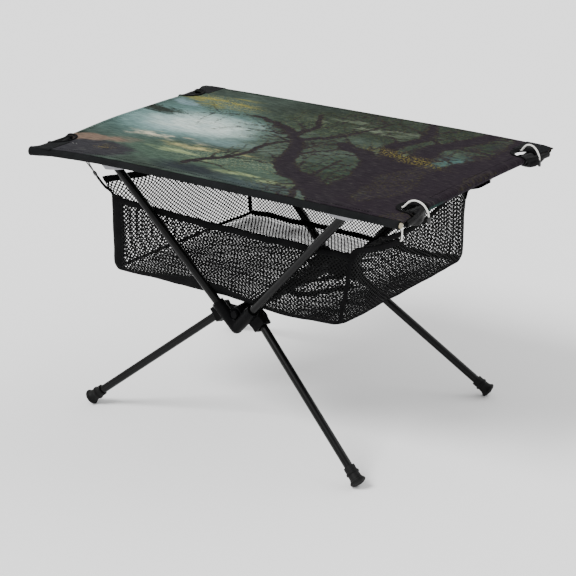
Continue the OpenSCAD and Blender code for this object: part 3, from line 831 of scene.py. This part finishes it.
class TABLE_OT_rods(bpy.types.Operator):
    """Makes the long rods, their end plugs, the spreaders and their forks"""
    bl_idname = "side_table.rods"
    bl_label = "Rods and forks"

    def execute(self, context):
        plugs = new_mesh()
        for name, sy in (("front", -1), ("back", 1)):
            end_x = 283 if sy < 0 else 279
            path = [settle(x, sy * ROD_Y, ROD_Z) for x in (-283 + (283 + end_x) * k / 60 for k in range(61))]
            bm = new_mesh()
            sweep(bm, path, 7 * MM, around=24)
            piece(f"{name}_rod", bm, finish("tube"), "top", [f"rod_{name}"])
            for sx, end, back in ((-1, path[0], path[1]), (1, path[-1], path[-2])):
                profile = [(0, -1), (3.2, -1), (3.5, -0.6), (3.5, 1.0), (3.2, 1.7), (2.4, 2.0), (1.2, 1.7),
                           (0, 1.6)]
                part = new_mesh()
                revolve(part, [(r * MM, h * MM) for r, h in profile], end, end - back, steps=24)
                join(plugs, part)
        piece("rod_plugs", plugs, finish("plug"), "top", ["rod_end_plugs"])
        for name, sx in (("left", -1), ("right", 1)):
            path = [settle(sx * SPREADER_X, y, ROD_Z) for y in (-131 + 262 * k / 30 for k in range(31))]
            bm = new_mesh()
            sweep(bm, path, 7 * MM, around=24)
            piece(f"{name}_spreader", bm, finish("tube"), "top", [f"spreader_{name}"])
        for cx, cy in CORNERS:
            self.fork(cx, cy)
        return {"FINISHED"}

    def fork(self, cx, cy):
        """A moulded socket that splits into two jaws, whose ends bear on the long rod."""
        name = f"{'front' if cy < 0 else 'back'}_{'left' if cx < 0 else 'right'}"

        def at(x, y, z):
            return settle(cx * (SPREADER_X - x), cy * y, ROD_Z + z)
        bm = new_mesh()
        sweep(bm, [at(0, y, 0) for y in (120.5, 121.5, 125, 130, 135, 140, 146)],
              lambda s: (11 - 0.8 * s) * MM, around=20)
        # The body hangs below the rods and widens to the jaws
        keel = ((126, -2), (130, -4), (135, -5.6), (141, -6), (147, -5.6), (153, -4.6), (160, -3), (167, -2),
                (171, -1.6))
        sweep(bm, [at(0, y, z) for y, z in keel], lambda s: (13 + 11 * smoothstep(2 * s)) * MM,
              lambda s: (10 + 4 * math.sin(math.pi * s) - 5.5 * s) * MM, around=20, square=0.62)
        for side in (-1, 1):
            jaw = spline([at(side * 2, 122, 0.4), at(side * 5.5, 136, 0), at(side * 9, 154, -1),
                          at(side * 10, 174.5, -1.6)], 14)
            sweep(bm, jaw, lambda s: (6.6 - 0.4 * s) * MM, 7.4 * MM, around=14, square=0.75)
        # A gusset fills the bite on the table's side
        sweep(bm, [at(x, y, -5.5) for x, y in ((7, 127), (12, 134), (15, 143), (14, 153), (9, 162))],
              20 * MM, 4.5 * MM, around=16, square=0.6)
        # A raised rib between the jaws and a collar at the socket's mouth
        sweep(bm, [at(0, y, 3.2 - 0.03 * (y - 120)) for y in (122, 128, 134, 142, 150)], 2.4 * MM,
              lambda s: (4.2 - 2.2 * s) * MM, around=10)
        sweep(bm, [at(0, y, 0) for y in (120, 120.4, 122.2, 123.8, 124.2)],
              lambda s: (12 - 3 * abs(s - 0.5) ** 3) * MM, around=20)
        fork = piece(f"fork_moulding_{name}", bm, finish("nylon"), "top", [f"fork_{name}"])
        melt(fork, 0.55)


def melt(obj, voxel_mm):
    """Fuses overlapping solids into one moulding with small rounded fillets."""
    mod = obj.modifiers.new("Fuse", "REMESH")
    mod.mode = "VOXEL"
    mod.voxel_size = voxel_mm * MM
    mod.use_smooth_shade = True
    smooth = obj.modifiers.new("Soften", "SMOOTH")
    smooth.factor = 0.5
    smooth.iterations = 3
    graph = bpy.context.evaluated_depsgraph_get()
    mesh = bpy.data.meshes.new_from_object(obj.evaluated_get(graph))
    obj.modifiers.clear()
    old = obj.data
    obj.data = mesh
    obj.data.name = obj.name
    bpy.data.meshes.remove(old)
    for face in mesh.polygons:
        face.use_smooth = True


class TABLE_OT_pockets(bpy.types.Operator):
    """Makes the cloth hoods under the top that take the arms' tips"""
    bl_idname = "side_table.pockets"
    bl_label = "Arm pockets"

    def execute(self, context):
        bm = new_mesh()
        for cx, cy in CORNERS:
            def place(s, t):
                """s goes down the hood and t round it."""
                angle = 2 * math.pi * t
                c, d = math.cos(angle), math.sin(angle)
                c, d = (math.copysign(abs(v) ** 0.7, v) for v in (c, d))
                half_x, half_y = 31 - 12 * s ** 0.8, 22 - 9.5 * s ** 0.6
                x, y, z = 186 - 14 * s, 142 - 4 * s, 363.6 - 24.5 * s
                pucker = (0.8 * math.sin(9 * angle) * (1 - s)
                          + 0.5 * noise.noise(Vector((3 * c, 3 * d, 5 * s))))
                z += 2.5 * s * (c + 0.4) * -1
                return settle(cx * (x + (half_x + pucker) * c), cy * (y + (half_y + pucker) * d), z)
            part = new_mesh()
            skin(part, 14, 56, place, (0.026, 0.12), closed=True)
            join(bm, part)
        hoods = piece("arm_hoods", bm, finish("pocket"), "top", ["arm_pockets"])
        solidify(hoods, 1.0, 0)
        return {"FINISHED"}


# Each wall of the bag: from its own flat coordinates in millimetres to the upright box
WALLS = {
    "front": (2 * BAG_X, BAG_H, lambda a, b: (a, -BAG_Y, b)),
    "right": (2 * BAG_Y, BAG_H + 14, lambda a, b: (BAG_X, a, b * side_top(a, -10) / (BAG_H + 14))),
    "back": (2 * BAG_X, BAG_H, lambda a, b: (-a, BAG_Y, b)),
    "left": (2 * BAG_Y, BAG_H + 14, lambda a, b: (-BAG_X, -a, b * side_top(a, 17) / (BAG_H + 14))),
    "floor": (2 * BAG_X, 2 * BAG_Y, lambda a, b: (a, BAG_Y - b, 0)),
}


def side_top(y, middle):
    """Height of a side wall's upper edge: it rises to the loops at both ends."""
    return BAG_H + middle + (HANG_H - middle) * abs(y / BAG_Y) ** 2


def net(name, pitch, yarn):
    """Diamond net cut to the wall's outline, then hung."""
    wide, high, to_box = WALLS[name]
    span = (wide + high) / math.sqrt(2)
    count = math.ceil(span / pitch) + 1
    bm = new_mesh()
    bmesh.ops.create_grid(bm, x_segments=count, y_segments=count, size=count * pitch / 2)
    bmesh.ops.rotate(bm, verts=bm.verts, cent=(0, 0, 0), matrix=Matrix.Rotation(math.radians(45), 3, "Z"))
    bmesh.ops.translate(bm, verts=bm.verts, vec=(0, high / 2, 0))
    for spot, out in (((-wide / 2, 0, 0), (-1, 0, 0)), ((wide / 2, 0, 0), (1, 0, 0)),
                      ((0, 0, 0), (0, -1, 0)), ((0, high, 0), (0, 1, 0))):
        bmesh.ops.bisect_plane(bm, geom=bm.verts[:] + bm.edges[:] + bm.faces[:], plane_co=spot, plane_no=out,
                               clear_outer=True)
    small = [f for f in bm.faces if f.calc_area() < 0.2 * pitch * pitch]
    bmesh.ops.delete(bm, geom=small, context="FACES")
    made = bmesh.ops.inset_individual(bm, faces=bm.faces[:], thickness=yarn / 2, use_even_offset=True)
    rims = set(made["faces"])
    bmesh.ops.delete(bm, geom=[f for f in bm.faces if f not in rims], context="FACES")
    for vert in bm.verts:
        vert.co = bag_point(*to_box(vert.co.x, vert.co.y))
    return bm


class TABLE_OT_bag(bpy.types.Operator):
    """Makes the net bag: its five net panels, tapes, straps and loops"""
    bl_idname = "side_table.bag"
    bl_label = "Net bag"

    def execute(self, context):
        # Unseeded, noise_vector starts from the clock and the wrinkles change from run to run
        noise.seed_set(1)
        pitch, yarn = settings().net_pitch / MM, settings().yarn / MM
        for name, (wide, high, _) in WALLS.items():
            bm = net(name, pitch, yarn)
            panel = piece(f"bag_net_{name}", bm, finish("net"), "top", [f"bag_{name}"],
                          fix_normals=False)
            solidify(panel, 0.85, 0)
        self.rims()
        self.seams()
        self.straps()
        return {"FINISHED"}

    def strip(self, bm, count, across, place, size):
        """A tape of two faces with a soft edge: a flat closed skin round place(s, t, out)."""
        def around(s, t):
            """t runs out along one face and back along the other."""
            lane, side = (t * 2, 1) if t <= 0.5 else (2 - t * 2, -1)
            edge = math.sin(math.pi * clamp(lane)) ** 0.35 if 0 < lane < 1 else 0
            return place(s, lane, side * edge)
        part = new_mesh()
        skin(part, count, 2 * across, around, size, closed=True, caps=True)
        bmesh.ops.recalc_face_normals(part, faces=part.faces)
        join(bm, part)

    def rims(self):
        for label, names in (("long", ("front", "back")), ("side", ("left", "right"))):
            bm = new_mesh()
            for name in names:
                wide, high, to_box = WALLS[name]

                def place(s, lane, out):
                    a = (s - 0.5) * (wide + 1)
                    ripple = 0.7 * noise.noise(Vector((a / 18, len(name), 0)))
                    x, y, z = to_box(a, high - 9.5 * (1 - lane) + ripple + 0.6)
                    n = Vector((0, -1 if name == "front" else 1, 0)) if label == "long" else Vector(
                        (-1 if name == "left" else 1, 0, 0))
                    return bag_point(x, y, z) + n * (1.1 * out * MM)
                self.strip(bm, 96, 6, place, (wide * MM, 0.02))
            piece(f"bag_{label}_rim_tapes", bm, finish("webbing"), "top",
                  [f"bag_{label}_rims"], fix_normals=False)

    def seams(self):
        bm = new_mesh()
        for cx, cy in CORNERS:
            def place(s, lane, out):
                z = 3 + (BAG_H + 1) * s
                # Folded round the corner; the front left tape is wider
                wide = 50 if (cx, cy) == (-1, -1) else 7
                x, y = BAG_X - max(0, 0.5 - lane) * wide, BAG_Y - max(0, lane - 0.5) * 9
                p = bag_point(cx * x, cy * y, z)
                n = Vector((cx, cy, 0)).normalized()
                return p + n * (1.2 * out * MM)
            self.strip(bm, 44, 8, place, (0.11, 0.04))
        piece("bag_corner_tapes", bm, finish("webbing"), "top", ["bag_corner_seams"],
              fix_normals=False)
        bm = new_mesh()
        for name in ("front", "right", "back", "left"):
            wide, _, to_box = WALLS[name]

            def place(s, lane, out):
                a = (s - 0.5) * (wide - 2)
                up = (3.5 if name == "left" else 7) + 1.2 * noise.noise(Vector((a / 25, len(name), 1)))
                if name == "front":
                    up += 15 * math.exp(-((a + 40) / 75) ** 2)
                w = (lane - 0.5) * 2
                if w < 0:
                    x, y, z = to_box(a, -w * up)
                else:
                    x, y, z = to_box(a, 0)
                    if name in ("front", "back"):
                        y -= math.copysign(w * 5, y)
                    else:
                        x -= math.copysign(w * 3.5, x)
                n = Vector((x / BAG_X * (name in ("left", "right")), y / BAG_Y * (name in ("front", "back")),
                            -1))
                return bag_point(x, y, z) + n.normalized() * (1.2 * out * MM)
            self.strip(bm, 96, 10, place, (wide * MM, 0.04))
        piece("bag_seam_tapes", bm, finish("webbing"), "top", ["bag_floor_seams"],
              fix_normals=False)

    def straps(self):
        bm = new_mesh()
        for i, (cx, cy) in enumerate(CORNERS):
            start = bag_point(cx * (BAG_X - 1), cy * (BAG_Y - 1), BAG_H - 12)
            top = bag_point(cx * (BAG_X - 1), cy * (BAG_Y - 1), BAG_H + 4)
            end = mm(*HANG[i])
            middle = top.lerp(end, 0.5) - Vector((0, 0, 0.002))
            path = spline([start, top, middle, end], 24)
            sweep(bm, path, 9 * MM, 2.2 * MM, around=12, up=(cx, cy, 0.4), square=0.6)
        piece("bag_straps", bm, finish("webbing"), "top", ["bag_corner_straps"])
        # The left loops' elastic is drawn dark grey for painted shade, while the right loops' elastic is white
        for label, chosen, cloth, slot in (("left", (0, 3), "thin elastic", "thin_elastic"),
                                           ("right", (1, 2), "white elastic", "white_elastic")):
            bm = new_mesh()
            for i in chosen:
                low, high = mm(*HANG[i]), mm(*LOOP_FROM[i])
                rise = (high - low).normalized()
                low = low + rise * 0.0006
                if label == "right":
                    bend = low.lerp(high, 0.25) + Vector((0.0012, 0, -0.0006))
                    path = spline([low + Vector((-0.0035, 0, 0.001)), low + Vector((0.0005, 0, 0.0002)), bend,
                                   high], 24)
                    sweep(bm, path, 1.9 * MM, around=10)
                else:
                    knot = low + rise * 0.007
                    sweep(bm, spline([low, low.lerp(knot, 0.5), knot], 8),
                          lambda s: (3.2 + 1.6 * math.sin(math.pi * s)) * MM, around=12)
                    for s in (-1, 1):
                        off = Vector((s * 0.003, 0, 0))
                        strand = [knot - rise * 0.001, knot.lerp(high, 0.5) + off * 0.9, high + off]
                        sweep(bm, spline(strand, 16), 1.6 * MM, around=8)
            piece(f"hanging_loops_{label}", bm, finish(cloth), "top", ["bag_hanging_loops"])
        # Carrying loop of webbing that lies on the floor
        bm = new_mesh()
        turn = Matrix.Rotation(math.radians(-30), 3, "Z")
        flat = [(-18, 58), (-18, 40), (-18, 20), (-18, 4), (-14, -10), (0, -18), (14, -10), (18, 4), (18, 20),
                (18, 40), (18, 58)]
        path = []
        for a, b in flat:
            p = turn @ Vector((a, b, 0))
            x, y = 60 + p.x, -35 + p.y
            path.append(bag_point(x, y, 0) + Vector((0, 0, 0.0021)))
        path = spline(path, 60)
        sweep(bm, path, 10 * MM, 1.9 * MM, around=12, square=0.6)
        piece("bag_carry_loop", bm, finish("webbing"), "top", ["bag_strap_loop"])


class TABLE_OT_frame(bpy.types.Operator):
    """Softens the two hubs' edges and gives every other frame part its finish"""
    bl_idname = "side_table.frame"
    bl_label = "Frame"

    def execute(self, context):
        for name in ("front", "back"):
            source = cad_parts[f"hub_{name}"]
            bm = new_mesh()
            bm.from_mesh(source.data)
            bmesh.ops.remove_doubles(bm, verts=bm.verts, dist=2e-6)
            hub = piece(f"hub_moulding_{name}", bm, finish("nylon"), "frame",
                        [f"hub_{name}"])
            melt(hub, 0.75)
        looks = {"crossbar_plugs": "nylon", "crossbar": "tube", "arm_tip_caps": "nylon",
                 "arm_shock_cords": "white elastic", "leg_hinge_pins": "steel",
                 "rod_ferrules": "bare aluminium", "knuckle": "nylon", "foot": "rubber", "arm_": "tube", "leg_": "tube"}
        for name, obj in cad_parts.items():
            if obj.hide_render:
                continue
            key = name if name in looks else next((k for k in looks if name.startswith(k)), None)
            if key is None:
                raise RuntimeError(f"no finish for {name}")
            if not obj.data.materials:
                obj.data.materials.append(None)
            for i in range(len(obj.material_slots)):
                obj.material_slots[i].material = finish(looks[key])
        return {"FINISHED"}


class TABLE_OT_stage(bpy.types.Operator):
    """Lays the floor and hangs the lights"""
    bl_idname = "side_table.stage"
    bl_label = "Stage"

    def execute(self, context):
        bm = new_mesh()
        bmesh.ops.create_grid(bm, x_segments=2, y_segments=2, size=14)
        mesh = bpy.data.meshes.new("floor")
        bm.to_mesh(mesh)
        bm.free()
        mat, tree, shader = material("Floor", Roughness=0.9)
        shader.inputs["Base Color"].default_value = settings().floor_colour
        mesh.materials.append(mat)
        floor = bpy.data.objects.new("floor", mesh)
        context.scene.collection.objects.link(floor)
        world = bpy.data.worlds.new("studio")
        world.use_nodes = True
        back = world.node_tree.nodes["Background"]
        back.inputs["Color"].default_value = (1, 1, 1, 1)
        back.inputs["Strength"].default_value = 1.0
        context.scene.world = world
        for name, spot, power, spread in (("key", (-0.42, -0.7, 0.95), 3.4, 24),
                                          ("rim", (0.5, 0.9, 0.9), 1.0, 50)):
            data = bpy.data.lights.new(name, "SUN")
            data.energy = power
            data.angle = math.radians(spread)
            light = bpy.data.objects.new(name, data)
            light.rotation_euler = (-Vector(spot)).to_track_quat("-Z", "Y").to_euler()
            context.scene.collection.objects.link(light)
        return {"FINISHED"}


class TABLE_PT_panel(bpy.types.Panel):
    """Lists the table's pieces in the sidebar"""
    bl_label = "Folding side table"
    bl_idname = "TABLE_PT_panel"
    bl_space_type = "VIEW_3D"
    bl_region_type = "UI"
    bl_category = "Side Table"

    def draw(self, context):
        for name in TableSettings.__annotations__:
            self.layout.prop(context.scene.side_table, name)
        for operator in OPERATORS:
            self.layout.operator(operator.bl_idname)


OPERATORS = (TABLE_OT_camera, TABLE_OT_tails, TABLE_OT_top, TABLE_OT_rods, TABLE_OT_pockets, TABLE_OT_bag,
             TABLE_OT_frame, TABLE_OT_stage)
CLASSES = (TableSettings, *OPERATORS, TABLE_PT_panel)


def register():
    for cls in CLASSES:
        bpy.utils.register_class(cls)
    bpy.types.Scene.side_table = bpy.props.PointerProperty(type=TableSettings)


def unregister():
    del bpy.types.Scene.side_table
    for cls in reversed(CLASSES):
        bpy.utils.unregister_class(cls)


def main():
    register()
    for operator in OPERATORS:
        group, name = operator.bl_idname.split(".")
        getattr(getattr(bpy.ops, group), name)()


if __name__ == "__main__":
    main()
